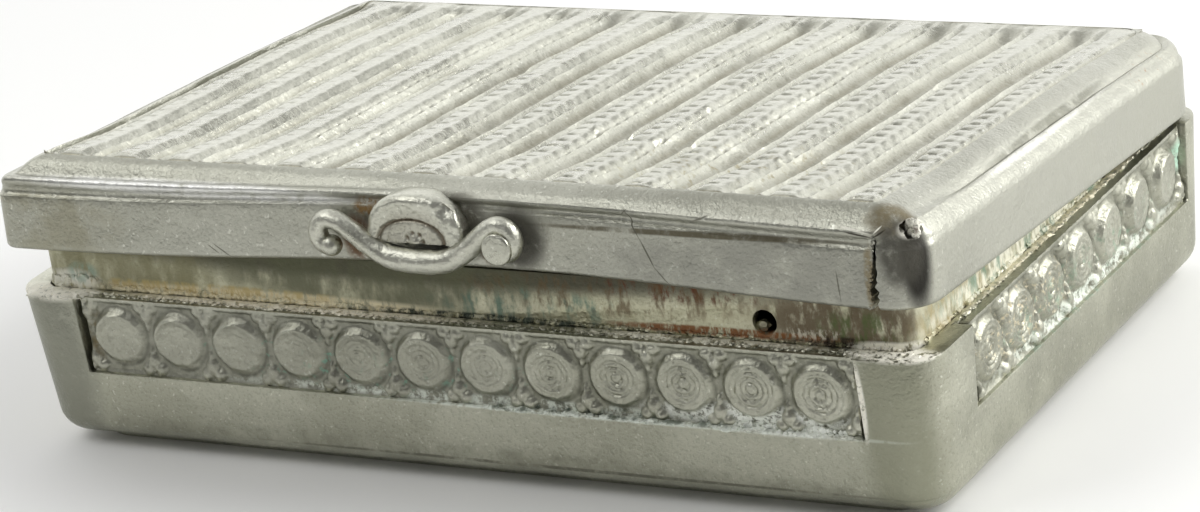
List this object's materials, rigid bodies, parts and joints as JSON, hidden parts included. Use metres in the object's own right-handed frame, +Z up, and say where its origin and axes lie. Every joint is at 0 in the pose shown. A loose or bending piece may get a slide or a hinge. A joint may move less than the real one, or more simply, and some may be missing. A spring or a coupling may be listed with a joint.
{
  "type": "snuff box",
  "caption": "Cast pewter pocket snuff box with roundel strips round the tray and a ribbed lid on a rear hinge, opened by a scrolled thumbpiece.",
  "frame": {"origin": "middle of the foot plate's underside, on the surface the box stands on", "axes": "+X along the front to the viewer's right, +Y from the thumbpiece to the hinge, +Z up"},
  "size_m": [0.072, 0.0494, 0.022],
  "materials": {
    "tray_pewter": "worn grey cast pewter",
    "foot_pewter": "worn grey cast pewter, rubbed",
    "lip_pewter": "tarnished pewter with brown and green stains",
    "roundel_pewter": "worn cast pewter with white and green deposits",
    "lid_pewter": "smooth worn pewter",
    "panel_pewter": "ribbed pewter, worn bright",
    "thumb_pewter": "polished by touch, brown dirt in the corners",
    "hinge_pewter": "worn pewter",
    "pin_brass": "dull drawn brass wire"
  },
  "bodies": {
    "box": {"body_shell": "tray_pewter", "base_plate": "foot_pewter", "lip_frame": "lip_pewter", "frieze_front": "roundel_pewter", "frieze_right": "roundel_pewter", "frieze_left": "roundel_pewter", "hinge_bearer_body": "hinge_pewter", "knuckle_body_1": "hinge_pewter", "knuckle_body_2": "hinge_pewter", "knuckle_body_3": "hinge_pewter", "knuckle_body_4": "hinge_pewter", "hinge_pin": "pin_brass"},
    "lid": {"lid_shell": "lid_pewter", "lid_panel": "panel_pewter", "hinge_bearer_lid": "hinge_pewter", "knuckle_lid_1": "hinge_pewter", "knuckle_lid_2": "hinge_pewter", "knuckle_lid_3": "hinge_pewter", "thumb_scroll": "thumb_pewter", "thumb_shell": "thumb_pewter"}
  },
  "joints": [
    {"name": "lid_hinge", "type": "hinge", "parent": "box", "child": "lid", "pos_m": [0, 0.0233, 0.01197], "axis": [-1, 0, 0], "range_deg": [-3.9, 96]}
  ]
}
